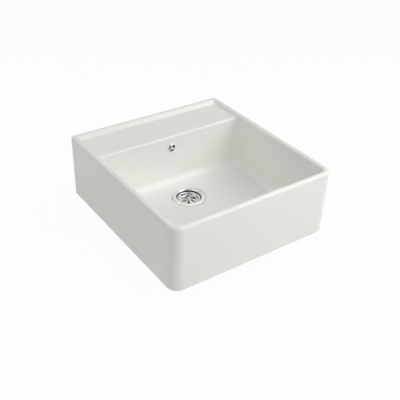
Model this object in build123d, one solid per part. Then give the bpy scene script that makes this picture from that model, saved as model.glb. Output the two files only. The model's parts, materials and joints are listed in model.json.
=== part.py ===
"""Farmhouse apron front sink: one fired ceramic body with a tap ledge, its strainer waste and its overflow.

Millimetres, +Z up. The origin is on the waste's axis, in the plane of the ceramic's underside, which
stands on the base cabinet. -Y is the apron at the front, +Y the rear, +X the right as seen from the front.
"""
import os
from math import atan2, degrees, hypot

from build123d import *

# ---------------------------------------------------------------- ceramic body
BODY_WIDTH = 595.0          # fills a base cabinet 600 wide
BODY_DEPTH = 635.0          # apron face to rear face
BODY_HEIGHT = 225.0
FRONT_CORNER_R = 35.0       # upright corners beside the apron
REAR_CORNER_R = 11.0
RIM_ROUND_R = 9.5           # the rolled outer edge of the rim
RIM_INNER_ROUND_R = 8.5
FOOT_ROUND_R = 4.0
SIDE_WALL = 20.0
FRONT_WALL = 20.0
REAR_WALL = 17.0
FLOOR_THICKNESS = 30.0
BOWL_LENGTH = 455.0         # front to back, at the rim
WASTE_TO_BACK_WALL = 113.0  # waste axis to the bowl's back wall
BOWL_DRAFT = 7.0            # how far the sides and front lean in by the floor
BOWL_CORNER_TOP_R = 22.0
BOWL_CORNER_FLOOR_R = 48.0
BOWL_FLOOR_R = 32.0         # sweep from wall to floor
BOWL_STRAIGHT = 12.0        # upright part of the bowl wall under the ledge
BACK_WALL = 18.0            # between the bowl and the hollow behind it
LEDGE_DROP = 13.0           # tap ledge below the rim
LEDGE_THICKNESS = 17.0
LEDGE_NOSE_R = 8.0          # rolled front edge of the ledge
LEDGE_SIDE_R = 4.0          # sweep from the ledge up to the side rims
LEDGE_FADE = 24.0           # length over which that sweep runs out at the bowl's corner
REAR_RIM = 17.0             # width of the raised rim behind the ledge
REAR_SLOPE_RUN = 13.0       # how far the slope up to that rim runs
REAR_SLOPE_R = 6.0
HOLLOW_CORNER_R = 12.0
HOLLOW_ROOF_R = 6.0
HOLLOW_FOOT_R = 3.0

# ---------------------------------------------------------------- waste hole
WASTE_HOLE_R = 46.0
FLANGE_RECESS_DEPTH = 3.0
FLANGE_RECESS_GAP = 1.5     # dark line round the flange
FLANGE_RECESS_ROUND_R = 1.0
SEAT_R = 66.0               # ground seat for the waste on the underside
SEAT_DEPTH = 8.0

# ---------------------------------------------------------------- strainer flange, pressed steel
FLANGE_R = 57.5
FLANGE_SHEET = 1.2
FLANGE_DOME = 1.3           # the flange's edge lies this much below its mouth
FLANGE_SEAL_THICKNESS = 1.5
FLANGE_SEAL_SHOW = 0.6      # the seal's edge outside the flange
MOUTH_R = 43.0
MOUTH_LIP = 2.0
SHOULDER_DEPTH = 7.0        # carries the basket's rim
SHOULDER_R = 42.0
SHOULDER_INNER_R = 37.0
CUP_TAPER = 0.5
CUP_DEPTH = 27.0
WELL_R = 26.0
WELL_DEPTH = 38.0
WELL_HOLE_R = 4.5
WELL_HOLE_RING_R = 17.0
WELL_HOLES = 8
BEND_R = 2.2                # bends in the pressed cup
TIGHT_BEND_R = 1.0

# ---------------------------------------------------------------- lift-out basket
BASKET_SHEET = 1.0
BASKET_GAP = 2.5            # basket rim to cup wall
BASKET_RIM = 5.0
DISH_TROUGH_R = 31.0
DISH_TROUGH_DEPTH = 15.0
DISH_TROUGH_WIDTH = 4.5
HUB_R = 7.0
HUB_DEPTH = 11.0
DISH_BEND_R = 2.0
DISH_SLOTS = 6
SLOT_START_R = 8.0
SLOT_END_R = 24.5
SLOT_INNER_WIDTH = 4.5
SLOT_OUTER_WIDTH = 8.0
SLOT_CORNER_R = 1.8
WALL_HOLES = 24
WALL_HOLE_R = 1.5
WALL_DRILL = 6.0
BASKET_TURN = -124.9        # one slot points at the front left corner
KNOB_R = 5.5
KNOB_HEAD = 3.2
KNOB_WAIST_R = 4.0
KNOB_FOOT_R = 5.5
KNOB_FOOT = 1.4
KNOB_TOP_DEPTH = 3.5
KNOB_BORE_DEPTH = 5.0
STEM_R = 3.0
STEM_COLLAR_R = 5.0
THREAD_CLEARANCE = 0.05
STOPPER_SEAL_R = 30.5
STOPPER_SEAL_THICKNESS = 3.5
STOPPER_PLATE_R = 27.5
STOPPER_PLATE_THICKNESS = 1.2
STEM_NUT_R = 5.5
STEM_NUT_THICKNESS = 2.4
STEM_END = 0.4              # stem shown below its nut

# ---------------------------------------------------------------- waste body, moulded plastic
WASTE_SEAL_THICKNESS = 6.0
WASTE_SEAL_R = 60.0
WASTE_BODY_R = 49.5
WASTE_BODY_WALL = 3.5
WASTE_FLANGE_THICKNESS = 4.0
WASTE_FLANGE_R = 61.0
INLET_AXIS_DEPTH = 42.0     # overflow inlet below the underside
WASTE_CHAMBER_BELOW = 4.0   # chamber wall below the inlet
WASTE_CONE = 14.0
OUTLET_R = 23.9             # 1 1/2 inch pipe thread, outside
OUTLET_WALL = 3.9
OUTLET_LENGTH = 28.0
OUTLET_CHAMFER = 1.0
BOSS_R = 8.0
BOSS_TOP_DEPTH = 12.0       # below the underside
BOSS_LENGTH = 24.0
BOSS_RIB = 3.0
BOSS_RIBS = 3
RIB_TURN = 30.0             # leaves the overflow inlet free
INSERT_R = 5.0
INSERT_LENGTH = 16.0
INSERT_CLEARANCE = 0.05     # brass insert in its socket
CLAMP_SCREW_R = 3.0
CLAMP_HEAD_R = 7.5
CLAMP_HEAD = 3.4
CLAMP_SLOT = 1.6
CLAMP_SCREW_LENGTH = 28.0
HOLE_PLAY = 0.3             # screw in its clearance hole
SEAL_SETBACK = 1.0          # seal's bore outside the hole that it seals

# ---------------------------------------------------------------- overflow
OVERFLOW_BELOW_RIM = 57.0
OVERFLOW_HOLE_R = 12.5
COVER_R = 15.5
COVER_THICKNESS = 2.6
COVER_EDGE = 1.2
COVER_SLOTS = 3
COVER_TURN = 30.0
COVER_SLOT_RING_R = 8.8
COVER_SLOT_LENGTH = 13.5
COVER_SLOT_WIDTH = 5.8
COVER_SEAL_THICKNESS = 0.8
COVER_SEAL_INSET = 0.5
COVER_SEAL_SETBACK = 0.3
COVER_SCREW_R = 2.5
COVER_SCREW_HEAD_R = 3.8
COVER_SCREW_HEAD = 1.4
COVER_SCREW_DOME = 0.5
COVER_SCREW_SLOT = 0.9
SCREW_END = 2.0             # screw shown past its nut
ELBOW_SEAL_THICKNESS = 4.0
ELBOW_FLANGE_R = 19.0
ELBOW_FLANGE = 3.0
ELBOW_R = 17.0
ELBOW_WALL = 2.6
ELBOW_LENGTH = 42.0
ELBOW_DROP = 42.0           # overflow axis to the spigot's end
ELBOW_AXIS = 29.0           # back wall to the spigot's axis
ELBOW_POST_R = 5.0
ELBOW_POST_LENGTH = 22.0
ELBOW_INSERT_R = 3.6
ELBOW_INSERT_LENGTH = 14.0

# ---------------------------------------------------------------- overflow hose and its two couplings
HOSE_R = 12.0
HOSE_BORE_R = 9.5
HOSE_COLLAR_R = 14.0
HOSE_COLLAR = 3.0
HOSE_STUB = 15.0            # straight hose between its collar and its bend
SPIGOT_R = 14.5
SPIGOT_BORE_R = 10.5
SPIGOT_LENGTH = 22.0
COUPLING_WASHER = 2.0
COUPLING_NUT_R = 18.5
COUPLING_NUT_SIDES = 8
COUPLING_NUT_GRIP = 16.0    # length of spigot inside the nut
COUPLING_NUT_END = 3.0
COUPLING_NUT_CHAMFER = 1.5
COUPLING_CLEARANCE = 0.15
HOSE_CLEARANCE = 0.6

# ---------------------------------------------------------------- drawing aids
CUT_PAST = 1.0              # how far a cutter runs past the face that it opens
TOUCH = 0.01                # two places closer than this are the same

# ---------------------------------------------------------------- planes and places that follow
BOWL_BACK_Y = WASTE_TO_BACK_WALL
BOWL_FRONT_Y = BOWL_BACK_Y - BOWL_LENGTH
FRONT_Y = BOWL_FRONT_Y - FRONT_WALL
REAR_Y = FRONT_Y + BODY_DEPTH
INNER_X = BODY_WIDTH / 2 - SIDE_WALL
HOLLOW_FRONT_Y = BOWL_BACK_Y + BACK_WALL
HOLLOW_REAR_Y = REAR_Y - REAR_WALL
LEDGE_Z = BODY_HEIGHT - LEDGE_DROP
LEDGE_REAR_Y = REAR_Y - REAR_RIM - REAR_SLOPE_RUN
FLOOR_Z = FLOOR_THICKNESS
RECESS_Z = FLOOR_Z - FLANGE_RECESS_DEPTH
SHEET_EDGE_Z = RECESS_Z + FLANGE_SEAL_THICKNESS
FLANGE_Z = SHEET_EDGE_Z + FLANGE_SHEET + FLANGE_DOME    # top of the flange, at its mouth
SHOULDER_Z = FLANGE_Z - SHOULDER_DEPTH
CUP_Z = FLANGE_Z - CUP_DEPTH
WELL_Z = FLANGE_Z - WELL_DEPTH
WASTE_TOP_Z = SEAT_DEPTH - WASTE_SEAL_THICKNESS
INLET_Z = -INLET_AXIS_DEPTH
INLET_END_Y = WASTE_BODY_R + SPIGOT_LENGTH
CHAMBER_Z = INLET_Z - SPIGOT_R - WASTE_CHAMBER_BELOW
OUTLET_TOP_Z = CHAMBER_Z - WASTE_CONE
OUTLET_END_Z = OUTLET_TOP_Z - OUTLET_LENGTH
OVERFLOW_Z = BODY_HEIGHT - OVERFLOW_BELOW_RIM
ELBOW_Y = HOLLOW_FRONT_Y + ELBOW_AXIS
ELBOW_END_Z = OVERFLOW_Z - ELBOW_DROP
HOSE_START_Y = INLET_END_Y + COUPLING_WASHER
HOSE_BEND_R = ELBOW_Y - HOSE_START_Y - HOSE_COLLAR - HOSE_STUB
POST_END = BACK_WALL + ELBOW_SEAL_THICKNESS + ELBOW_LENGTH - ELBOW_WALL - ELBOW_POST_LENGTH
OVERFLOW_AXIS = Plane(origin=(0, BOWL_BACK_Y, OVERFLOW_Z), x_dir=(1, 0, 0), z_dir=(0, -1, 0))


def rounded_plan(half_x, y_low, y_high, corner_r, z):
    """A rounded rectangle in plan, centred left to right."""
    middle = Pos(0, (y_low + y_high) / 2, z)
    return middle * RectangleRounded(2 * half_x, y_high - y_low, corner_r)


def upright_edges(solid, y):
    """The vertical edges of a block that stand at one y."""
    return solid.edges().filter_by(Axis.Z).filter_by(lambda e: abs(e.center().Y - y) < TOUCH)


def disc(radius, z_low, z_high, bore=0.0):
    """A round plate on the Z axis, with a bore if one is given."""
    ring = Circle(radius) - Circle(bore) if bore else Circle(radius)
    return Pos(0, 0, z_low) * extrude(ring, z_high - z_low)


def turned(points, radius_at=None):
    """A solid turned about Z from (radius, height) points, with some corners rounded."""
    face = make_face(Polyline(*[(r, 0, z) for r, z in points], close=True))
    for (r, z), corner_r in (radius_at or {}).items():
        corner = face.vertices().sort_by(lambda v: hypot(v.X - r, v.Z - z))[0]
        face = fillet(corner, corner_r)
    return revolve(face, Axis.Z)


def pressed(points, bends, sheet):
    """A sheet pressing about Z: the points are its upper surface, from the edge to the middle."""
    line = FilletPolyline(*[(r, z) for r, z in points], radius=bends)
    profile = make_face(offset(line, sheet, side=Side.RIGHT, closed=True))
    if profile.bounding_box().min.Y > min(z for r, z in points) - sheet / 2:
        profile = make_face(offset(line, sheet, side=Side.LEFT, closed=True))
    return revolve(Plane.XZ * profile, Axis.Z)


# ================================================================ ceramic
def outer_block():
    block = Pos(0, (FRONT_Y + REAR_Y) / 2, BODY_HEIGHT / 2) * Box(BODY_WIDTH, BODY_DEPTH, BODY_HEIGHT)
    block = fillet(upright_edges(block, FRONT_Y), FRONT_CORNER_R)
    block = fillet(upright_edges(block, REAR_Y), REAR_CORNER_R)
    block = fillet(block.faces().sort_by(Axis.Z)[-1].edges(), RIM_ROUND_R)
    return fillet(block.faces().sort_by(Axis.Z)[0].edges(), FOOT_ROUND_R)


def bowl_void():
    """The bowl up to the ledge, with the ledge's rolled nose flaring out of its top edge."""
    top_z = LEDGE_Z - BOWL_STRAIGHT
    top = rounded_plan(INNER_X, BOWL_FRONT_Y, BOWL_BACK_Y, BOWL_CORNER_TOP_R, top_z)
    floor = rounded_plan(INNER_X - BOWL_DRAFT, BOWL_FRONT_Y + BOWL_DRAFT, BOWL_BACK_Y,
                         BOWL_CORNER_FLOOR_R, FLOOR_Z)
    void = extrude(top, BOWL_STRAIGHT) + loft([top, floor], ruled=True)
    void = fillet(void.faces().sort_by(Axis.Z)[0].edges(), BOWL_FLOOR_R)
    above = RIM_ROUND_R + LEDGE_DROP
    slab = extrude(rounded_plan(BODY_WIDTH, BOWL_FRONT_Y - BODY_DEPTH, BOWL_BACK_Y + BODY_DEPTH,
                                BOWL_CORNER_TOP_R, LEDGE_Z), above)
    flared = void + slab
    nose = flared.edges().filter_by(lambda e: abs(e.center().Z - LEDGE_Z) < TOUCH
                                    and abs(e.center().X) < INNER_X + TOUCH
                                    and FRONT_Y < e.center().Y < REAR_Y)
    flared = fillet(nose, LEDGE_NOSE_R)
    behind = Pos(0, BOWL_BACK_Y, 0) * Box(2 * INNER_X, 2 * (BOWL_CORNER_TOP_R + LEDGE_NOSE_R),
                                          2 * LEDGE_Z)
    return void + (flared & behind)


def tray_void():
    """Everything above the ledge's level, from the front rim to the slope at the rear."""
    top_z = BODY_HEIGHT + RIM_ROUND_R
    slope_top_y = REAR_Y - REAR_RIM
    start_y = BOWL_BACK_Y - BOWL_CORNER_TOP_R - LEDGE_FADE
    profile = make_face(Polyline(
        (0, start_y, LEDGE_Z), (0, LEDGE_REAR_Y, LEDGE_Z), (0, slope_top_y, BODY_HEIGHT),
        (0, slope_top_y, top_z), (0, start_y, top_z), close=True))
    foot = profile.vertices().sort_by(lambda v: hypot(v.Y - LEDGE_REAR_Y, v.Z - LEDGE_Z))[0]
    profile = fillet(foot, REAR_SLOPE_R)
    tray = extrude(profile, INNER_X, both=True)
    swept = tray.edges().filter_by(lambda e: abs(abs(e.center().X) - INNER_X) < TOUCH
                                   and e.center().Z < BODY_HEIGHT - TOUCH
                                   and e.center().Y > start_y + TOUCH)
    tray = fillet(swept, LEDGE_SIDE_R)
    over_bowl = extrude(rounded_plan(INNER_X, BOWL_FRONT_Y, BOWL_BACK_Y, BOWL_CORNER_TOP_R, LEDGE_Z),
                        top_z - LEDGE_Z)
    fade_y = BOWL_BACK_Y - BOWL_CORNER_TOP_R
    fade = make_face(Polyline(
        (-INNER_X, start_y), (INNER_X, start_y), (INNER_X, fade_y),
        (INNER_X - LEDGE_SIDE_R, fade_y + LEDGE_FADE), (-INNER_X + LEDGE_SIDE_R, fade_y + LEDGE_FADE),
        (-INNER_X, fade_y), close=True))
    return tray + over_bowl + extrude(Pos(0, 0, LEDGE_Z) * fade, top_z - LEDGE_Z)


def hollow_void():
    """The hollow behind the bowl and under the ledge, open at the bottom."""
    roof_z = LEDGE_Z - LEDGE_THICKNESS
    y_mid = (HOLLOW_FRONT_Y + HOLLOW_REAR_Y) / 2
    block = Pos(0, y_mid, roof_z / 2 - FOOT_ROUND_R) * Box(
        2 * INNER_X, HOLLOW_REAR_Y - HOLLOW_FRONT_Y, roof_z + 2 * FOOT_ROUND_R)
    block = fillet(block.edges().filter_by(Axis.Z), HOLLOW_CORNER_R)
    return fillet(block.faces().sort_by(Axis.Z)[-1].edges(), HOLLOW_ROOF_R)


def sink_body():
    body = outer_block() - tray_void() - bowl_void() - hollow_void()
    inner_rim = body.edges().filter_by(
        lambda e: abs(e.center().Z - BODY_HEIGHT) < TOUCH
        and abs(e.center().X) < INNER_X + TOUCH
        and BOWL_FRONT_Y - TOUCH < e.center().Y < REAR_Y - REAR_RIM + TOUCH)
    body = fillet(inner_rim, RIM_INNER_ROUND_R)
    hollow_foot = body.edges().filter_by(
        lambda e: abs(e.center().Z) < TOUCH
        and abs(e.center().X) < INNER_X + TOUCH
        and HOLLOW_FRONT_Y - TOUCH < e.center().Y < HOLLOW_REAR_Y + TOUCH)
    body = fillet(hollow_foot, HOLLOW_FOOT_R)
    body -= disc(WASTE_HOLE_R, -CUT_PAST, FLOOR_Z + CUT_PAST)
    recess_r = FLANGE_R + FLANGE_RECESS_GAP
    body -= disc(recess_r, RECESS_Z, FLOOR_Z + CUT_PAST)
    recess_edge = body.edges().filter_by(GeomType.CIRCLE).filter_by(
        lambda e: abs(e.radius - recess_r) < TOUCH and abs(e.center().Z - FLOOR_Z) < TOUCH)
    body = fillet(recess_edge, FLANGE_RECESS_ROUND_R)
    body -= disc(SEAT_R, -CUT_PAST, SEAT_DEPTH)
    return body - OVERFLOW_AXIS * disc(OVERFLOW_HOLE_R, -BACK_WALL - CUT_PAST, CUT_PAST)


# ================================================================ strainer waste
def waste_points(bottom_r):
    """Upper surface of the pressed flange and cup, from its edge to the middle."""
    return [
        (FLANGE_R, SHEET_EDGE_Z + FLANGE_SHEET),
        (MOUTH_R + MOUTH_LIP, FLANGE_Z),
        (MOUTH_R, FLANGE_Z - MOUTH_LIP),
        (SHOULDER_R, SHOULDER_Z),
        (SHOULDER_INNER_R, SHOULDER_Z),
        (SHOULDER_INNER_R - CUP_TAPER, CUP_Z),
        (WELL_R, CUP_Z),
        (WELL_R - CUP_TAPER, WELL_Z),
        (bottom_r, WELL_Z),
    ]


def strainer_flange():
    """The polished flange and cup, with the drain holes round its clamping screw."""
    bends = [BEND_R, TIGHT_BEND_R, TIGHT_BEND_R, BEND_R, BEND_R, BEND_R, BEND_R]
    cup = pressed(waste_points(CLAMP_SCREW_R + HOLE_PLAY), bends, FLANGE_SHEET)
    below = WELL_Z - 2 * FLANGE_SHEET
    for turn in range(WELL_HOLES):
        place = Rot(0, 0, 360 * turn / WELL_HOLES) * Pos(WELL_HOLE_RING_R, 0, below)
        cup -= place * extrude(Circle(WELL_HOLE_R), 3 * FLANGE_SHEET)
    return cup


def flange_seal():
    return disc(FLANGE_R + FLANGE_SEAL_SHOW, RECESS_Z, SHEET_EDGE_Z, WASTE_HOLE_R + SEAL_SETBACK)


def waste_seal():
    """The thick rubber ring between the ceramic's ground seat and the waste body."""
    return disc(WASTE_SEAL_R, WASTE_TOP_Z, SEAT_DEPTH, WASTE_HOLE_R + SEAL_SETBACK)


def clamp_screw():
    """The slotted screw that pulls the flange and the waste body together."""
    head = turned([(0, WELL_Z), (CLAMP_HEAD_R, WELL_Z), (CLAMP_HEAD_R, WELL_Z + CLAMP_HEAD),
                   (0, WELL_Z + CLAMP_HEAD)], {(CLAMP_HEAD_R, WELL_Z + CLAMP_HEAD): CLAMP_HEAD / 3})
    slot = Pos(0, 0, WELL_Z + CLAMP_HEAD) * Box(3 * CLAMP_HEAD_R, CLAMP_SLOT, CLAMP_HEAD)
    return head + disc(CLAMP_SCREW_R, WELL_Z - CLAMP_SCREW_LENGTH, WELL_Z) - slot


def clamp_insert():
    """The brass nut moulded into the boss of the waste body."""
    bore = CLAMP_SCREW_R + THREAD_CLEARANCE
    return disc(INSERT_R, -BOSS_TOP_DEPTH - INSERT_LENGTH, -BOSS_TOP_DEPTH, bore)


def inlet_place():
    """The overflow inlet: its axis runs to the rear, out of the waste body."""
    return Plane(origin=(0, INLET_END_Y, INLET_Z), x_dir=(1, 0, 0), z_dir=(0, 1, 0))


def elbow_place():
    """The elbow's spigot: its axis runs down, out of the elbow."""
    return Plane(origin=(0, ELBOW_Y, ELBOW_END_Z), x_dir=(1, 0, 0), z_dir=(0, 0, -1))


def waste_body():
    """The chamber under the strainer, with its outlet, its overflow inlet and the clamping boss."""
    inner_r = WASTE_BODY_R - WASTE_BODY_WALL
    outlet_bore = OUTLET_R - OUTLET_WALL
    flange_z = WASTE_TOP_Z - WASTE_FLANGE_THICKNESS
    outside = turned([
        (0, WASTE_TOP_Z), (WASTE_FLANGE_R, WASTE_TOP_Z), (WASTE_FLANGE_R, flange_z),
        (WASTE_BODY_R, flange_z), (WASTE_BODY_R, CHAMBER_Z), (OUTLET_R, OUTLET_TOP_Z),
        (OUTLET_R, OUTLET_END_Z + OUTLET_CHAMFER), (OUTLET_R - OUTLET_CHAMFER, OUTLET_END_Z),
        (0, OUTLET_END_Z)], {(WASTE_BODY_R, flange_z): WASTE_BODY_WALL / 2})
    outside += inlet_place() * disc(SPIGOT_R, -INLET_END_Y, 0)
    inside = turned([
        (0, WASTE_TOP_Z + CUT_PAST), (inner_r, WASTE_TOP_Z + CUT_PAST),
        (inner_r, CHAMBER_Z + WASTE_BODY_WALL / 2), (outlet_bore, OUTLET_TOP_Z + WASTE_BODY_WALL / 2),
        (outlet_bore, OUTLET_END_Z - CUT_PAST), (0, OUTLET_END_Z - CUT_PAST)])
    inside += inlet_place() * disc(SPIGOT_BORE_R, -INLET_END_Y, CUT_PAST)
    shell = outside - inside
    boss_z = -BOSS_TOP_DEPTH - BOSS_LENGTH
    boss = disc(BOSS_R, boss_z, -BOSS_TOP_DEPTH)
    for turn in range(BOSS_RIBS):
        rib = Box(inner_r + WASTE_BODY_WALL / 2, BOSS_RIB, BOSS_LENGTH,
                  align=(Align.MIN, Align.CENTER, Align.MIN))
        boss += Rot(0, 0, RIB_TURN + 360 * turn / BOSS_RIBS) * Pos(0, 0, boss_z) * rib
    socket = disc(INSERT_R + INSERT_CLEARANCE, -BOSS_TOP_DEPTH - INSERT_LENGTH, 0)
    clearance_hole = disc(CLAMP_SCREW_R + HOLE_PLAY, boss_z - CUT_PAST, 0)
    return shell + boss - socket - clearance_hole


# ================================================================ lift-out basket
DISH_SHEET_TOP_Z = SHOULDER_Z + BASKET_SHEET
HUB_Z = FLANGE_Z - HUB_DEPTH
BASKET_RIM_R = SHOULDER_R - BASKET_GAP
SEAL_TOP_Z = CUP_Z + STOPPER_SEAL_THICKNESS
PLATE_TOP_Z = SEAL_TOP_Z + STOPPER_PLATE_THICKNESS
STEM_END_Z = CUP_Z - STEM_NUT_THICKNESS - STEM_END
KNOB_TOP_Z = FLANGE_Z - KNOB_TOP_DEPTH
KNOB_BORE_Z = HUB_Z + KNOB_BORE_DEPTH


def slot_cutter():
    """One drain slot in the dish, wider towards its outer end, standing upright on the X axis."""
    outline = make_face(Polyline(
        (SLOT_START_R, -SLOT_INNER_WIDTH / 2), (SLOT_END_R, -SLOT_OUTER_WIDTH / 2),
        (SLOT_END_R, SLOT_OUTER_WIDTH / 2), (SLOT_START_R, SLOT_INNER_WIDTH / 2), close=True))
    outline = fillet(outline.vertices(), SLOT_CORNER_R)
    return Pos(0, 0, CUP_Z) * extrude(outline, FLANGE_Z - CUP_Z)


def basket_dish():
    """The strainer dish: a rim, a sloping wall, a trough and a slotted floor that rises to the hub."""
    trough_z = FLANGE_Z - DISH_TROUGH_DEPTH
    rim_inner_r = BASKET_RIM_R - BASKET_RIM
    points = [(BASKET_RIM_R, DISH_SHEET_TOP_Z), (rim_inner_r, DISH_SHEET_TOP_Z),
              (DISH_TROUGH_R, trough_z), (DISH_TROUGH_R - DISH_TROUGH_WIDTH, trough_z),
              (HUB_R, HUB_Z), (STEM_R + THREAD_CLEARANCE, HUB_Z)]
    dish = pressed(points, DISH_BEND_R, BASKET_SHEET)
    for turn in range(DISH_SLOTS):
        dish -= Rot(0, 0, BASKET_TURN + 360 * turn / DISH_SLOTS) * slot_cutter()
    slope = degrees(atan2(DISH_SHEET_TOP_Z - trough_z, rim_inner_r - DISH_TROUGH_R))
    middle = Pos((rim_inner_r + DISH_TROUGH_R) / 2, 0, (DISH_SHEET_TOP_Z + trough_z) / 2)
    drill = middle * Rot(0, 180 - slope, 0) * Pos(0, 0, -WALL_DRILL / 2)
    for turn in range(WALL_HOLES):
        place = Rot(0, 0, BASKET_TURN + 360 * (turn + 0.5) / WALL_HOLES) * drill
        dish -= place * extrude(Circle(WALL_HOLE_R), WALL_DRILL)
    return dish


def basket_knob():
    """The pull knob, screwed down on the dish's hub."""
    head_z = KNOB_TOP_Z - KNOB_HEAD
    foot_z = HUB_Z + KNOB_FOOT
    knob = turned([
        (0, HUB_Z), (KNOB_FOOT_R, HUB_Z), (KNOB_FOOT_R, foot_z), (KNOB_WAIST_R, foot_z),
        (KNOB_WAIST_R, head_z), (KNOB_R, head_z), (KNOB_R, KNOB_TOP_Z), (0, KNOB_TOP_Z)],
        {(KNOB_R, KNOB_TOP_Z): KNOB_HEAD / 2, (KNOB_R, head_z): KNOB_HEAD / 4,
         (KNOB_FOOT_R, foot_z): KNOB_FOOT / 2})
    return knob - disc(STEM_R + THREAD_CLEARANCE, HUB_Z, KNOB_BORE_Z)


def basket_stem():
    """The stem from the knob to the stopper, with the collar that spaces dish and stopper apart."""
    collar = disc(STEM_COLLAR_R, PLATE_TOP_Z, HUB_Z - BASKET_SHEET)
    return collar + disc(STEM_R, STEM_END_Z, KNOB_BORE_Z)


def stopper_plate():
    return disc(STOPPER_PLATE_R, SEAL_TOP_Z, PLATE_TOP_Z, STEM_R + THREAD_CLEARANCE)


def stopper_seal():
    """The rubber disc that shuts the cup's well when the basket is pressed home."""
    return disc(STOPPER_SEAL_R, CUP_Z, SEAL_TOP_Z, STEM_R + THREAD_CLEARANCE)


def stem_nut():
    outline = RegularPolygon(STEM_NUT_R, 6) - Circle(STEM_R + THREAD_CLEARANCE)
    return Pos(0, 0, CUP_Z - STEM_NUT_THICKNESS) * extrude(outline, STEM_NUT_THICKNESS)


# ================================================================ overflow
def overflow_cover():
    """The round cover in the bowl's back wall, with its slots set round the screw."""
    top = COVER_SEAL_THICKNESS + COVER_THICKNESS
    cover = turned([
        (0, COVER_SEAL_THICKNESS), (COVER_R, COVER_SEAL_THICKNESS),
        (COVER_R, COVER_SEAL_THICKNESS + COVER_EDGE), (COVER_R - COVER_EDGE, top), (0, top)],
        {(COVER_R - COVER_EDGE, top): COVER_EDGE,
         (COVER_R, COVER_SEAL_THICKNESS + COVER_EDGE): COVER_EDGE / 3})
    slot = Pos(COVER_SLOT_RING_R, 0, 0) * Rot(0, 0, 90) * SlotOverall(COVER_SLOT_LENGTH, COVER_SLOT_WIDTH)
    for turn in range(COVER_SLOTS):
        cover -= Rot(0, 0, COVER_TURN + 360 * turn / COVER_SLOTS) * extrude(slot, 2 * top)
    cover -= disc(COVER_SCREW_R + HOLE_PLAY, 0, 2 * top)
    cover -= disc(COVER_SCREW_HEAD_R + HOLE_PLAY, top - COVER_SCREW_HEAD, 2 * top)
    return OVERFLOW_AXIS * cover


def cover_seal():
    return OVERFLOW_AXIS * disc(COVER_R - COVER_SEAL_INSET, 0, COVER_SEAL_THICKNESS,
                                OVERFLOW_HOLE_R + COVER_SEAL_SETBACK)


def overflow_screw():
    """The screw through the cover and the hole, into the elbow's post."""
    top = COVER_SEAL_THICKNESS + COVER_THICKNESS
    head = turned([(0, top - COVER_SCREW_HEAD), (COVER_SCREW_HEAD_R, top - COVER_SCREW_HEAD),
                   (COVER_SCREW_HEAD_R, top), (0, top + COVER_SCREW_DOME)])
    slot = Pos(0, 0, top + COVER_SCREW_DOME) * Box(
        3 * COVER_SCREW_HEAD_R, COVER_SCREW_SLOT, 2 * COVER_SCREW_DOME + COVER_SCREW_HEAD / 2)
    end = POST_END + ELBOW_INSERT_LENGTH + SCREW_END
    return OVERFLOW_AXIS * (head + disc(COVER_SCREW_R, -end, top - COVER_SCREW_HEAD) - slot)


def elbow_seal():
    face = BACK_WALL + ELBOW_SEAL_THICKNESS
    return OVERFLOW_AXIS * disc(ELBOW_FLANGE_R, -face, -BACK_WALL, ELBOW_R - ELBOW_WALL)


def elbow_insert():
    """The brass nut in the elbow's post that takes the cover's screw."""
    end = POST_END + ELBOW_INSERT_LENGTH
    return OVERFLOW_AXIS * disc(ELBOW_INSERT_R, -end, -POST_END, COVER_SCREW_R + THREAD_CLEARANCE)


def overflow_elbow():
    """The housing behind the overflow hole: a flanged cup, a post inside it and a spigot that points down."""
    face = BACK_WALL + ELBOW_SEAL_THICKNESS
    end = face + ELBOW_LENGTH
    inner_r = ELBOW_R - ELBOW_WALL
    spigot = elbow_place() * disc(SPIGOT_R, -ELBOW_DROP, 0)
    outside = OVERFLOW_AXIS * (disc(ELBOW_R, -end, -face) + disc(ELBOW_FLANGE_R, -face - ELBOW_FLANGE, -face))
    rear = outside.faces().sort_by(Axis.Y)[-1]
    outside = fillet(rear.edges(), ELBOW_WALL) + spigot
    bore = elbow_place() * disc(SPIGOT_BORE_R, -ELBOW_DROP, CUT_PAST)
    inside = OVERFLOW_AXIS * disc(inner_r, ELBOW_WALL - end, CUT_PAST - face) + bore
    post = OVERFLOW_AXIS * disc(ELBOW_POST_R, ELBOW_WALL / 2 - end, -POST_END)
    socket = OVERFLOW_AXIS * disc(ELBOW_INSERT_R + INSERT_CLEARANCE,
                                  -POST_END - ELBOW_INSERT_LENGTH, -POST_END)
    screw_hole = OVERFLOW_AXIS * disc(COVER_SCREW_R + HOLE_PLAY,
                                      -POST_END - ELBOW_INSERT_LENGTH - 2 * SCREW_END, -POST_END)
    return outside - inside + post - socket - screw_hole


# ================================================================ overflow hose
def coupling_washer(place):
    return place * disc(HOSE_COLLAR_R, 0, COUPLING_WASHER, SPIGOT_BORE_R)


def coupling_nut(place):
    """The nut that draws the hose's collar and its washer up to a spigot's end."""
    inside_z = COUPLING_WASHER + HOSE_COLLAR
    length = COUPLING_NUT_GRIP + inside_z + COUPLING_NUT_END
    blank = extrude(RegularPolygon(COUPLING_NUT_R, COUPLING_NUT_SIDES), length)
    round_off = turned([(0, 0), (COUPLING_NUT_R - COUPLING_NUT_CHAMFER, 0),
                        (COUPLING_NUT_R, COUPLING_NUT_CHAMFER),
                        (COUPLING_NUT_R, length - COUPLING_NUT_CHAMFER),
                        (COUPLING_NUT_R - COUPLING_NUT_CHAMFER, length), (0, length)])
    nut = Pos(0, 0, -COUPLING_NUT_GRIP) * (blank & round_off)
    nut -= disc(SPIGOT_R + COUPLING_CLEARANCE, -COUPLING_NUT_GRIP - CUT_PAST, inside_z)
    return place * (nut - disc(HOSE_R + HOSE_CLEARANCE, 0, inside_z + COUPLING_NUT_END + CUT_PAST))


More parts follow.
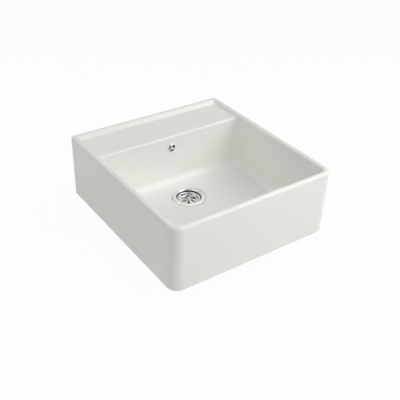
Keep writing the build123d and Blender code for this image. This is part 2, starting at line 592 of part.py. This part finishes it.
def hose_tube(radius):
    """A round bar along the hose's route: out of the inlet to the rear, one bend, and up to the elbow."""
    route = FilletPolyline((0, HOSE_START_Y, INLET_Z), (0, ELBOW_Y, INLET_Z),
                           (0, ELBOW_Y, ELBOW_END_Z - COUPLING_WASHER), radius=HOSE_BEND_R)
    return sweep(Plane(origin=(0, HOSE_START_Y, INLET_Z), z_dir=(0, 1, 0)) * Circle(radius), route)


def overflow_hose():
    """The flexible hose from the elbow down to the waste body, with a collar at each end."""
    collar = disc(HOSE_COLLAR_R, COUPLING_WASHER, COUPLING_WASHER + HOSE_COLLAR)
    hose = hose_tube(HOSE_R) + inlet_place() * collar + elbow_place() * collar
    return hose - hose_tube(HOSE_BORE_R)


PIECES = {
    "sink_body": sink_body,
    "strainer_flange": strainer_flange,
    "flange_seal": flange_seal,
    "waste_seal": waste_seal,
    "waste_body": waste_body,
    "clamp_screw": clamp_screw,
    "clamp_insert": clamp_insert,
    "basket_dish": basket_dish,
    "basket_knob": basket_knob,
    "basket_stem": basket_stem,
    "stopper_plate": stopper_plate,
    "stopper_seal": stopper_seal,
    "stem_nut": stem_nut,
    "overflow_cover": overflow_cover,
    "cover_seal": cover_seal,
    "overflow_screw": overflow_screw,
    "overflow_elbow": overflow_elbow,
    "elbow_seal": elbow_seal,
    "elbow_insert": elbow_insert,
    "overflow_hose": overflow_hose,
    "elbow_nut": lambda: coupling_nut(elbow_place()),
    "elbow_washer": lambda: coupling_washer(elbow_place()),
    "inlet_nut": lambda: coupling_nut(inlet_place()),
    "inlet_washer": lambda: coupling_washer(inlet_place()),
}

os.makedirs("parts", exist_ok=True)
for name, make in PIECES.items():
    export_step(make(), f"parts/{name}.step")
print("hose bend radius", HOSE_BEND_R)
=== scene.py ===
"""Farmhouse apron front sink in glazed fireclay, with its strainer waste and its overflow.

Metres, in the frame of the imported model: the origin is on the waste's axis, in the plane of the
ceramic's underside. The apron looks to -Y, and the tap ledge lies to +Y.
"""
import json
from math import atan2, cos, pi, radians, sin, tau

import bmesh
import bpy
from mathutils import Matrix, Vector


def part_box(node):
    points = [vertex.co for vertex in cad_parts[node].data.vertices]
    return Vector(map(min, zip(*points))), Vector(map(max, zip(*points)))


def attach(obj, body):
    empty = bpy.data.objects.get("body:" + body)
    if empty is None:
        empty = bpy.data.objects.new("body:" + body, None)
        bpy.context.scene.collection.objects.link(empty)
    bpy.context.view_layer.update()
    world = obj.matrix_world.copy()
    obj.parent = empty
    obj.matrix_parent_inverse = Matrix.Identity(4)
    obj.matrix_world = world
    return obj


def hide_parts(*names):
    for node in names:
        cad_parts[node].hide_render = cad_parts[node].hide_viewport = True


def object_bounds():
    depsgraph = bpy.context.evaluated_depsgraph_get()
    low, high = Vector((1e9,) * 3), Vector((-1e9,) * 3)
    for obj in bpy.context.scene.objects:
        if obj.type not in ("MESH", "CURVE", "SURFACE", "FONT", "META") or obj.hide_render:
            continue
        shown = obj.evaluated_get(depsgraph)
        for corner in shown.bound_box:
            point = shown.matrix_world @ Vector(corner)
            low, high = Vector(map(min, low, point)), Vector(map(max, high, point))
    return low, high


MM = 0.001
MERGE = 0.001 * MM          # points closer than this are one
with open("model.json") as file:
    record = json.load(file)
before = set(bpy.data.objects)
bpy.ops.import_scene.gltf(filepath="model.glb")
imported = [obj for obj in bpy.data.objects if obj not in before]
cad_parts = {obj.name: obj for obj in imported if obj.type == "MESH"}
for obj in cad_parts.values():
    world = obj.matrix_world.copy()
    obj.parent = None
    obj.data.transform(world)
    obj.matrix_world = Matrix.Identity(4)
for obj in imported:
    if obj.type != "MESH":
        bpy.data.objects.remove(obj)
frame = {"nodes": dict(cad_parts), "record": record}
cad_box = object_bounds()


# ================================================================ camera, light and floor
CAMERA_PLACE = (-1.0643, -1.5279, 1.2593)
CAMERA_AIM = (0.0476, 0.0, -0.0009)
CAMERA_ROLL = 2.19          # degrees, right side up
CAMERA_LENS = 58.49         # mm, on a sensor 36 wide

FLOOR_RADIUS = 12.0
FLOOR_GAP = 0.5 * MM        # under the waste's outlet
AMBIENT = 0.05              # light from all round
DARK_SIDE = (-0.57, -0.82, 0.0)         # the photographer's side of the studio
DARK_REACH = -0.05          # how far round that side the room is dark, as a cosine
SWEEP_TOP = 0.5             # sine of the height where the dark begins
FLOOR_WHITE = 0.96          # how much of what the camera sees of the floor is plain white

LAMP_DISTANCE = 2.8
LAMP_AIM = (0.0, 0.0, 0.1)
LAMP_WIDTH, LAMP_HEIGHT = 2.0, 1.6
# where each softbox stands round the sink, in degrees from +X and above the floor, and its watts
SOFTBOXES = {
    "key_right": (330, 35, 21.0),
    "key_middle": (300, 35, 15.5),
    "key_left": (270, 35, 16.5),
    "overhead": (315, 60, 12.0),
    "overhead_left": (205, 62, 8.0),
    "fill_left": (180, 35, 12.5),
    "fill_rear": (120, 35, 13.5),
}


def aimed(place, aim, roll=0.0):
    """Stands a camera or lamp at place, looking to aim."""
    back = (Vector(place) - Vector(aim)).normalized()
    turn = back.to_track_quat("Z", "Y").to_matrix().to_4x4()
    return Matrix.Translation(place) @ turn @ Matrix.Rotation(radians(roll), 4, "Z")


def place_camera():
    data = bpy.data.cameras.new("camera")
    data.lens = CAMERA_LENS
    data.clip_start = 0.01
    camera = bpy.data.objects.new("camera", data)
    camera.matrix_world = aimed(CAMERA_PLACE, CAMERA_AIM, CAMERA_ROLL)
    bpy.context.scene.collection.objects.link(camera)
    bpy.context.scene.camera = camera


def place_softbox(name, azimuth, elevation, watts):
    data = bpy.data.lights.new(name, "AREA")
    data.shape = "RECTANGLE"
    data.size = LAMP_WIDTH
    data.size_y = LAMP_HEIGHT
    data.energy = watts
    turn, rise = radians(azimuth), radians(elevation)
    heading = Vector((cos(turn) * cos(rise), sin(turn) * cos(rise), sin(rise)))
    lamp = bpy.data.objects.new(name, data)
    lamp.matrix_world = aimed(Vector(LAMP_AIM) + LAMP_DISTANCE * heading, LAMP_AIM)
    lamp.visible_camera = False
    bpy.context.scene.collection.objects.link(lamp)


# ================================================================ materials
def linear(code):
    """A colour written as sRGB hex, in the linear values that a shader takes."""
    shares = [int(code[at:at + 2], 16) / 255 for at in (1, 3, 5)]
    return (*[s / 12.92 if s <= 0.04045 else ((s + 0.055) / 1.055) ** 2.4 for s in shares], 1.0)


def add(tree, kind, inputs=(), **settings):
    """Adds a node; inputs gives its sockets, by name or number, a value or another node's output."""
    node = tree.nodes.new(kind)
    for name, value in settings.items():
        setattr(node, name, value)
    for socket, value in dict(inputs).items():
        if isinstance(value, bpy.types.NodeSocket):
            tree.links.new(value, node.inputs[socket])
        else:
            node.inputs[socket].default_value = value
    return node


def new_material(name, colour, roughness, metallic=0.0):
    """A material whose shader has its plain values set, with its node tree and that shader."""
    made = bpy.data.materials.new(name)
    made.use_nodes = True
    shader = made.node_tree.nodes["Principled BSDF"]
    shader.inputs["Base Color"].default_value = linear(colour)
    shader.inputs["Roughness"].default_value = roughness
    shader.inputs["Metallic"].default_value = metallic
    return made, made.node_tree, shader


def spot_on_piece(tree):
    return add(tree, "ShaderNodeTexCoord").outputs["Object"]


def grain(tree, spot, size, detail=2.0):
    """Noise whose lumps are about this size across."""
    sockets = {"Vector": spot, "Scale": 1 / size, "Detail": detail}
    return add(tree, "ShaderNodeTexNoise", sockets).outputs[0]


def relief(tree, shader, *layers):
    """Raises the surface by patterns, each given with its depth."""
    normal = None
    for height, depth in layers:
        bump = add(tree, "ShaderNodeBump", {"Height": height, "Distance": depth})
        if normal:
            tree.links.new(normal, bump.inputs["Normal"])
        normal = bump.outputs[0]
    tree.links.new(normal, shader.inputs["Normal"])


def blended(tree, share, first, second):
    """A colour between two, by a share."""
    sockets = {0: share, 6: first, 7: second}
    return add(tree, "ShaderNodeMix", sockets, data_type="RGBA").outputs[2]


def ranged(tree, value, low, high):
    """A pattern's 0 to 1 made to run from low to high."""
    return add(tree, "ShaderNodeMapRange", {0: value, 3: low, 4: high}).outputs[0]


def calculated(tree, operation, *values):
    return add(tree, "ShaderNodeMath", dict(enumerate(values)), operation=operation).outputs[0]


def under(tree, value, limit):
    return calculated(tree, "LESS_THAN", value, limit)


def over(tree, value, limit):
    return calculated(tree, "GREATER_THAN", value, limit)


def all_of(tree, mask, *others):
    """1 where each of these masks is 1."""
    for other in others:
        mask = calculated(tree, "MULTIPLY", mask, other)
    return mask


def from_axis(tree, across, aside):
    """How far a point lies from an axis, by its two distances square to it."""
    flat = add(tree, "ShaderNodeCombineXYZ", {0: across, 1: aside}).outputs[0]
    return add(tree, "ShaderNodeVectorMath", {0: flat}, operation="LENGTH").outputs["Value"]


def round_the_waste(tree, spot):
    """How far a point lies from the waste's axis, and its height."""
    x, y, z = add(tree, "ShaderNodeSeparateXYZ", {0: spot}).outputs
    return from_axis(tree, x, y), z


def round_the_overflow(tree, spot):
    """How far a point lies from the overflow's axis, and how far back it lies."""
    low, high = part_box("overflow_cover")
    x, y, z = add(tree, "ShaderNodeSeparateXYZ", {0: spot}).outputs
    return from_axis(tree, x, calculated(tree, "SUBTRACT", z, (low.z + high.z) / 2)), y


OVERFLOW_HOLE_R = 13.0 * MM # just outside the overflow's hole in the back wall
BACK_WALL = 30 * MM         # no less than the bowl's back wall is thick
COVER_FACE = 0.5 * MM       # the painted shade of the cover's slots starts this far inside its face
HOLLOW_MARGIN = 8 * MM      # from the stated room under the ledge to the ceramic round it
SEAT_RADIUS = 68 * MM       # just outside the ground seat on the underside
SEAT_TOP = 26.5 * MM        # just under the recess for the flange
GLAZE_END = 1.5 * MM        # height of the glaze's lower edge
GLAZE_WANDER = 2 * MM       # how much that edge rises and falls


def bare_clay(tree, spot):
    """Where the glaze is left off: the underside, the hollow under the ledge and the waste's seat."""
    x, y, z = add(tree, "ShaderNodeSeparateXYZ", {0: spot}).outputs
    wander = calculated(tree, "MULTIPLY", grain(tree, spot, 20 * MM), GLAZE_WANDER)
    edge = calculated(tree, "ADD", wander, GLAZE_END - GLAZE_WANDER / 2)
    foot = under(tree, z, edge)
    rooms = [opening["box_m"] for opening in frame["record"]["physics"]["openings"]
             if opening["name"].startswith("under_ledge")]
    low = [min(room[0][axis] for room in rooms) - HOLLOW_MARGIN for axis in range(3)]
    high = [max(room[1][axis] for room in rooms) + HOLLOW_MARGIN for axis in range(3)]
    hollow = all_of(tree, *[calculated(tree, "COMPARE", value, (start + end) / 2, (end - start) / 2)
                            for value, start, end in zip((x, y, z), low, high)])
    reach, height = round_the_waste(tree, spot)
    seat = all_of(tree, under(tree, reach, SEAT_RADIUS), under(tree, height, SEAT_TOP))
    return calculated(tree, "MAXIMUM", calculated(tree, "MAXIMUM", foot, hollow), seat)


GLAZE_ROUGHNESS, CLAY_ROUGHNESS = 0.24, 0.85


def glazed_fireclay():
    """Fireclay, cast, sprayed with opaque white glaze and fired: glassy, with broad soft ripples and
    a faint orange peel. Bare clay is sandy and cream. The wall of the overflow's hole is painted dark,
    a painted shade: its clay has no such finish."""
    made, tree, shader = new_material("glazed_fireclay", "#F1F2ED", GLAZE_ROUGHNESS)
    spot = spot_on_piece(tree)
    bare = bare_clay(tree, spot)
    glaze = blended(tree, grain(tree, spot, 120 * MM), linear("#F0F1EC"), linear("#F2F3EE"))
    clay = blended(tree, grain(tree, spot, 1.5 * MM, 4.0), linear("#B9AB94"), linear("#DCD2BF"))
    reach, back = round_the_overflow(tree, spot)
    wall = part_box("overflow_cover")[1].y
    painted_shade_in_hole = all_of(tree, under(tree, reach, OVERFLOW_HOLE_R), over(tree, back, wall),
                     under(tree, back, wall + BACK_WALL))
    coat = blended(tree, bare, glaze, clay)
    # painted shade: the wall of the overflow's hole is coloured near black where it lies in shade
    tree.links.new(blended(tree, painted_shade_in_hole, coat, linear("#2E2C29")), shader.inputs["Base Color"])
    rough = ranged(tree, bare, GLAZE_ROUGHNESS, CLAY_ROUGHNESS)
    tree.links.new(rough, shader.inputs["Roughness"])
    sand = calculated(tree, "MULTIPLY", grain(tree, spot, 1.0 * MM, 3.0), bare)
    relief(tree, shader, (grain(tree, spot, 60 * MM), 0.10 * MM),
           (grain(tree, spot, 2.5 * MM), 0.004 * MM), (sand, 0.25 * MM))
    return made


RING_TURNS = tau / 20       # a wave texture's rings lie this far apart at scale 1


def turned_rings(tree, spot, centre, axis, spacing):
    """Fine rings round an axis, as spinning, turning and buffing leave them."""
    moved = add(tree, "ShaderNodeMapping", {"Vector": spot, "Location": tuple(-c for c in centre)})
    sockets = {"Vector": moved.outputs[0], "Scale": RING_TURNS / spacing, "Distortion": 0.6,
               "Detail": 1.0}
    rings = add(tree, "ShaderNodeTexWave", sockets, wave_type="RINGS", rings_direction=axis)
    return rings.outputs[1]


MOUTH_RADIUS = 43.2 * MM    # the flange's mouth
BASKET_RADIUS = 39.8 * MM   # just outside the basket's rim
LIP_HEIGHT = 27.6 * MM      # the painted shade in the gap round the basket starts below this


def polished_steel():
    """Stainless sheet, pressed and buffed: the flange is mirror bright, with hair-fine rings round the
    waste's axis, and the basket is duller. The gap round the basket's rim is painted dark, a painted
    shade: the steel there has no such finish."""
    made, tree, shader = new_material("polished_steel", "#EDEDEC", 0.05, metallic=1.0)
    spot = spot_on_piece(tree)
    reach, height = round_the_waste(tree, spot)
    inside = under(tree, reach, MOUTH_RADIUS)
    gap = all_of(tree, inside, over(tree, reach, BASKET_RADIUS), under(tree, height, LIP_HEIGHT))
    buffed = blended(tree, inside, linear("#EDEDEC"), linear("#D8D5D8"))
    # painted shade: the gap round the basket's rim is coloured near black
    tree.links.new(blended(tree, gap, buffed, linear("#222224")), shader.inputs["Base Color"])
    tree.links.new(ranged(tree, grain(tree, spot, 9 * MM), 0.03, 0.09), shader.inputs["Roughness"])
    rings = turned_rings(tree, spot, (0, 0, 0), "Z", 0.7 * MM)
    relief(tree, shader, (rings, 0.002 * MM), (grain(tree, spot, 14 * MM), 0.02 * MM))
    return made


def chrome_plate():
    """Brass, plated with nickel and chromium: a cold, even mirror. The walls of the overflow cover's
    slots are painted dark, a painted shade: the plate there has no such finish."""
    made, tree, shader = new_material("chrome_plate", "#F2F3F4", 0.08, metallic=1.0)
    spot = spot_on_piece(tree)
    tree.links.new(ranged(tree, grain(tree, spot, 5 * MM), 0.08, 0.16), shader.inputs["Roughness"])
    reach, back = round_the_overflow(tree, spot)
    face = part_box("overflow_cover")[0].y
    painted_shade_in_slot = all_of(tree, under(tree, reach, OVERFLOW_HOLE_R), over(tree, back, face + COVER_FACE))
    # painted shade: the walls of the cover's slots are coloured near black
    plate = blended(tree, painted_shade_in_slot, linear("#F2F3F4"), linear("#1B1B1C"))
    tree.links.new(plate, shader.inputs["Base Color"])
    return made


def plain_steel():
    """Stainless bar and sheet as machined, not buffed: grey, with tool rings."""
    made, tree, shader = new_material("plain_steel", "#A9A8A5", 0.3, metallic=1.0)
    spot = spot_on_piece(tree)
    tree.links.new(ranged(tree, grain(tree, spot, 3 * MM, 4.0), 0.22, 0.42), shader.inputs["Roughness"])
    relief(tree, shader, (turned_rings(tree, spot, (0, 0, 0), "Z", 0.4 * MM), 0.006 * MM))
    return made


def brass_insert():
    """Turned brass, a little dulled."""
    made, tree, shader = new_material("brass_insert", "#C39A4E", 0.3, metallic=1.0)
    spot = spot_on_piece(tree)
    dull = blended(tree, grain(tree, spot, 4 * MM, 4.0), linear("#C8A055"), linear("#A8803C"))
    tree.links.new(dull, shader.inputs["Base Color"])
    return made


def black_rubber():
    """Moulded rubber: nearly black, dull, with a fine skin and a little bloom."""
    made, tree, shader = new_material("black_rubber", "#1C1C1D", 0.65)
    spot = spot_on_piece(tree)
    bloom = blended(tree, grain(tree, spot, 7 * MM, 4.0), linear("#18181A"), linear("#27272A"))
    tree.links.new(bloom, shader.inputs["Base Color"])
    relief(tree, shader, (grain(tree, spot, 0.6 * MM, 3.0), 0.02 * MM))
    return made


def moulded_plastic():
    """Black polypropylene from a spark-eroded mould, with a fine even texture."""
    made, tree, shader = new_material("moulded_plastic", "#232426", 0.45)
    spot = spot_on_piece(tree)
    flow = blended(tree, grain(tree, spot, 35 * MM, 3.0), linear("#202123"), linear("#292A2D"))
    tree.links.new(flow, shader.inputs["Base Color"])
    relief(tree, shader, (grain(tree, spot, 0.5 * MM, 2.0), 0.015 * MM))
    return made


def hose_plastic():
    """Blown polyethylene hose: grey, slightly waxy, a little uneven in tone."""
    made, tree, shader = new_material("hose_plastic", "#A9ACAE", 0.48)
    spot = spot_on_piece(tree)
    drawn = blended(tree, grain(tree, spot, 10 * MM, 3.0), linear("#A2A5A8"), linear("#B2B5B6"))
    tree.links.new(drawn, shader.inputs["Base Color"])
    relief(tree, shader, (grain(tree, spot, 0.8 * MM), 0.01 * MM))
    return made


def nut_plastic():
    """White polypropylene, moulded with a fine matt texture for grip."""
    made, tree, shader = new_material("nut_plastic", "#DCDDDA", 0.45)
    spot = spot_on_piece(tree)
    relief(tree, shader, (grain(tree, spot, 0.7 * MM, 2.0), 0.04 * MM))
    return made


def build_materials():
    makers = (glazed_fireclay, polished_steel, chrome_plate, plain_steel, brass_insert, black_rubber,
              moulded_plastic, hose_plastic, nut_plastic)
    return {make.__name__: make() for make in makers}


def dress_cad_nodes(materials):
    """Gives each carried-over piece the finish that the record names for it."""
    for subpart in frame["record"]["subparts"]:
        piece = frame["nodes"][subpart["node"]]
        piece.material_slots[0].material = materials[subpart["material_slot"]]


# ================================================================ pieces made here
def turned_mesh(profile, segments):
    """A closed ring turned about Z from its section's (radius, height) points."""
    bm = bmesh.new()
    verts = [bm.verts.new((radius, 0.0, height)) for radius, height in profile]
    edges = [bm.edges.new((a, b)) for a, b in zip(verts, verts[1:] + verts[:1])]
    bmesh.ops.spin(bm, geom=verts + edges, cent=(0, 0, 0), axis=(0, 0, 1), angle=tau,
                   steps=segments, use_merge=True)
    bmesh.ops.remove_doubles(bm, verts=bm.verts, dist=MERGE)
    bmesh.ops.recalc_face_normals(bm, faces=bm.faces)
    return bm


CREASE = 35.0               # degrees; sharper edges stay sharp


def finish_piece(bm, name, slot, node, materials):
    """Turns a bmesh into a piece that rides on the sink and stands for a CAD node."""
    bmesh.ops.recalc_face_normals(bm, faces=bm.faces)
    mesh = bpy.data.meshes.new(name)
    bm.to_mesh(mesh)
    bm.free()
    mesh.shade_smooth()
    mesh.set_sharp_from_angle(angle=radians(CREASE))
    mesh.materials.append(materials[slot])
    piece = bpy.data.objects.new(name, mesh)
    bpy.context.scene.collection.objects.link(piece)
    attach(piece, "sink")
    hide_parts(node)


HOSE_R = 12 * MM            # over the corrugations
HOSE_BORE_R = 9.5 * MM
HOSE_BEND_R = 68.5 * MM
HOSE_COLLAR_R = 14 * MM     # the collar that each nut presses on its washer
HOSE_COLLAR = 3 * MM
HOSE_CUFF = 12 * MM         # plain hose inside and just outside each nut
HOSE_PITCH = 4.2 * MM
HOSE_GROOVE = 1.3 * MM
HOSE_ROUNDING = 0.6         # under 1, the crests are broad and the valleys narrow
HOSE_STEPS = 8              # points across one corrugation
HOSE_BORE_STEPS = 40
HOSE_SEGMENTS = 48


def hose_section(length):
    """The corrugated hose's section, laid out straight."""
    first = HOSE_COLLAR + HOSE_CUFF
    last = length - first
    steps = round((last - first) / HOSE_PITCH) * HOSE_STEPS
    points = [(HOSE_BORE_R, 0.0), (HOSE_COLLAR_R, 0.0), (HOSE_COLLAR_R, HOSE_COLLAR),
              (HOSE_R, HOSE_COLLAR)]
    for step in range(steps + 1):
        swell = abs(sin(pi * step / HOSE_STEPS)) ** HOSE_ROUNDING
        along = first + (last - first) * step / steps
        points.append((HOSE_R - HOSE_GROOVE * (1 - swell), along))
    points += [(HOSE_R, length - HOSE_COLLAR), (HOSE_COLLAR_R, length - HOSE_COLLAR),
               (HOSE_COLLAR_R, length)]
    bore = [(HOSE_BORE_R, length * (1 - step / HOSE_BORE_STEPS)) for step in range(HOSE_BORE_STEPS)]
    return points + bore


def corrugated_hose(materials):
    """The overflow hose: blown in rings so that it bends, on the route of the plain one."""
    inlet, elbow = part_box("inlet_washer"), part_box("elbow_washer")
    start = Vector((0.0, inlet[1].y, (inlet[0].z + inlet[1].z) / 2))
    end = Vector((0.0, (elbow[0].y + elbow[1].y) / 2, elbow[0].z))
    level = end.y - start.y - HOSE_BEND_R
    arc = HOSE_BEND_R * pi / 2
    length = level + arc + (end.z - start.z - HOSE_BEND_R)
    bm = turned_mesh(hose_section(length), HOSE_SEGMENTS)
    for vert in bm.verts:
        x, across, along = vert.co
        turn = min(max((along - level) / HOSE_BEND_R, 0.0), pi / 2)
        heading = Vector((0.0, cos(turn), sin(turn)))
        side = Vector((0.0, sin(turn), -cos(turn)))
        centre = start + Vector((0.0, HOSE_BEND_R * sin(turn), HOSE_BEND_R * (1 - cos(turn))))
        centre += min(along, level) * Vector((0.0, 1.0, 0.0))
        centre += max(along - level - arc, 0.0) * heading
        vert.co = centre + x * Vector((1.0, 0.0, 0.0)) + across * side
    finish_piece(bm, "corrugated_hose", "hose_plastic", "overflow_hose", materials)


THREAD_PITCH = 2.309 * MM   # 1 1/2 inch pipe thread, 11 to the inch
THREAD_DEPTH = 1.2 * MM
THREAD_FLANK = 2.6          # the larger, the narrower the groove beside its crest
THREAD_ROWS = 8             # rows of points to one turn
THREAD_FADE = 2 * THREAD_PITCH          # the thread runs out over this height
THREAD_SEGMENTS = 96
OUTLET_R = 23.9 * MM
OUTLET_BORE_R = 20.0 * MM
OUTLET_LENGTH = 28.0 * MM
OUTLET_CHAMFER = 1.0 * MM


def threaded_outlet(bottom, top):
    """The waste's outlet, with the pipe thread that takes a trap's nut."""
    rows = round((top - bottom - OUTLET_CHAMFER) / (THREAD_PITCH / THREAD_ROWS))
    step = (top - bottom - OUTLET_CHAMFER) / rows
    outside = [(OUTLET_R, bottom + OUTLET_CHAMFER + row * step) for row in range(rows + 1)]
    section = [(OUTLET_BORE_R, bottom), (OUTLET_R - OUTLET_CHAMFER, bottom), *outside,
               (OUTLET_BORE_R, top)]
    bm = turned_mesh(section, THREAD_SEGMENTS)
    for vert in bm.verts:
        radius = vert.co.xy.length
        if radius < OUTLET_R - 10 * MERGE:
            continue
        phase = (vert.co.z / THREAD_PITCH + atan2(vert.co.y, vert.co.x) / tau) % 1.0
        groove = max(0.0, 1.0 - THREAD_FLANK * abs(phase - 0.5))
        fade = min(1.0, (top - vert.co.z) / THREAD_FADE)
        vert.co.xy *= 1 - THREAD_DEPTH * groove * fade / radius
    return bm


def waste_body(materials):
    """The moulded waste body, with its outlet's thread."""
    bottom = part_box("waste_body")[0].z
    top = bottom + OUTLET_LENGTH
    bm = bmesh.new()
    bm.from_mesh(frame["nodes"]["waste_body"].data)
    bmesh.ops.remove_doubles(bm, verts=bm.verts, dist=MERGE)
    cut = bmesh.ops.bisect_plane(bm, geom=bm.verts[:] + bm.edges[:] + bm.faces[:], dist=MERGE,
                                 plane_co=(0, 0, top), plane_no=(0, 0, -1), clear_outer=True)
    rim = [item for item in cut["geom_cut"] if isinstance(item, bmesh.types.BMEdge)]
    bmesh.ops.bridge_loops(bm, edges=rim)
    outlet = threaded_outlet(bottom, top)
    mesh = bpy.data.meshes.new("outlet")
    outlet.to_mesh(mesh)
    outlet.free()
    bm.from_mesh(mesh)
    bpy.data.meshes.remove(mesh)
    finish_piece(bm, "threaded_waste_body", "moulded_plastic", "waste_body", materials)


# ================================================================ stage
def build_floor():
    """The pale floor. What the camera and the metal see of it is mostly plain white, and it keeps
    the sink's shadow."""
    mesh = bpy.data.meshes.new("floor")
    bm = bmesh.new()
    bmesh.ops.create_circle(bm, cap_ends=True, segments=96, radius=FLOOR_RADIUS)
    bmesh.ops.translate(bm, verts=bm.verts, vec=(0.0, 0.0, cad_box[0].z - FLOOR_GAP))
    bm.to_mesh(mesh)
    bm.free()
    made = bpy.data.materials.new("studio_floor")
    made.use_nodes = True
    tree = made.node_tree
    tree.nodes.remove(tree.nodes["Principled BSDF"])
    lit = add(tree, "ShaderNodeBsdfDiffuse", {"Color": linear("#F4F4F4")}).outputs[0]
    white = add(tree, "ShaderNodeEmission", {"Strength": 1.0}).outputs[0]
    share = calculated(tree, "MULTIPLY", seen_directly(tree), FLOOR_WHITE)
    mixed = add(tree, "ShaderNodeMixShader", {0: share, 1: lit, 2: white}).outputs[0]
    tree.links.new(mixed, tree.nodes["Material Output"].inputs["Surface"])
    mesh.materials.append(made)
    disc = bpy.data.objects.new("floor", mesh)
    bpy.context.scene.collection.objects.link(disc)


def seen_directly(tree, mirrored=1.0):
    """1 for what the camera sees, also by way of metal, and 0 for the light that falls on things."""
    path = add(tree, "ShaderNodeLightPath").outputs
    shiny = calculated(tree, "MULTIPLY", path["Is Glossy Ray"], mirrored)
    seen = calculated(tree, "MAXIMUM", path["Is Camera Ray"], shiny)
    return calculated(tree, "MAXIMUM", seen, path["Is Transmission Ray"])


def build_world():
    """A white sweep all round. High up on the photographer's side metal sees a dark room instead,
    which gives it its blacks; what really stood there isn't known."""
    world = bpy.data.worlds.new("studio")
    world.use_nodes = True
    tree = world.node_tree
    background = tree.nodes["Background"]
    background.inputs["Color"].default_value = (1.0, 1.0, 1.0, 1.0)
    heading = add(tree, "ShaderNodeTexCoord").outputs["Generated"]
    height = add(tree, "ShaderNodeSeparateXYZ", {0: heading}).outputs["Z"]
    dot = add(tree, "ShaderNodeVectorMath", {0: heading, 1: DARK_SIDE}, operation="DOT_PRODUCT")
    dark_room = all_of(tree, over(tree, height, SWEEP_TOP),
                       over(tree, dot.outputs["Value"], DARK_REACH))
    mirrored = ranged(tree, dark_room, 1.0, 0.0)
    strength = ranged(tree, seen_directly(tree, mirrored), AMBIENT, 1.0)
    tree.links.new(strength, background.inputs["Strength"])
    bpy.context.scene.world = world


# ================================================================ the scene
bpy.context.scene.view_settings.view_transform = "Standard"
place_camera()
materials = build_materials()
dress_cad_nodes(materials)
corrugated_hose(materials)
waste_body(materials)
build_floor()
build_world()
for softbox, setting in SOFTBOXES.items():
    place_softbox(softbox, *setting)
